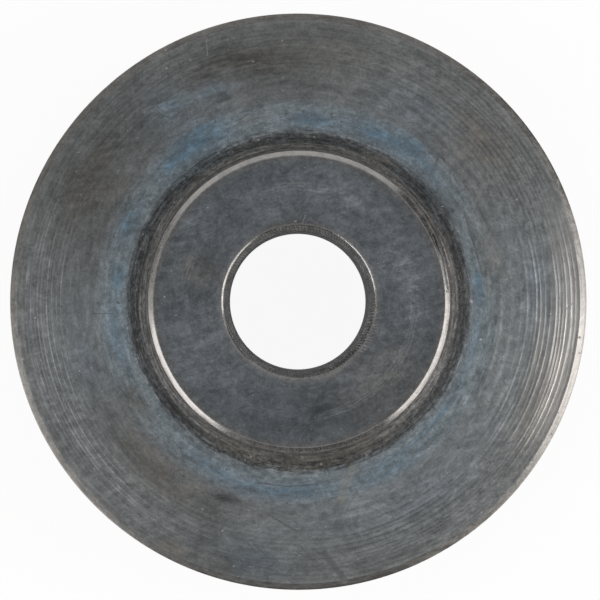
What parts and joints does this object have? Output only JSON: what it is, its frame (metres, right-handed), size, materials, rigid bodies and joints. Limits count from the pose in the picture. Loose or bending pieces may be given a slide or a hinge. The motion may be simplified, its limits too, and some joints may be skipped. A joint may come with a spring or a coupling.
{
  "type": "pipe cutter wheel",
  "caption": "Turned steel cutting wheel for a pipe cutter: a disc tapering to a sharp edge, with a raised hub on each side and a plain through bore.",
  "frame": {"origin": "middle of the wheel: on the bore's axis, in the plane of the cutting edge", "axes": "+Z along the bore, out of the hub face that the picture shows; +X to the picture's right and +Y to its top; the wheel is the same all round and on both sides"},
  "size_m": [0.04, 0.04, 0.019],
  "materials": {
    "blackened_steel": "turned tool steel, hardened and blackened, with blue tempering colours and bare worn edges"
  },
  "bodies": {
    "root": {"cutter_wheel": "blackened_steel"}
  },
  "joints": []
}
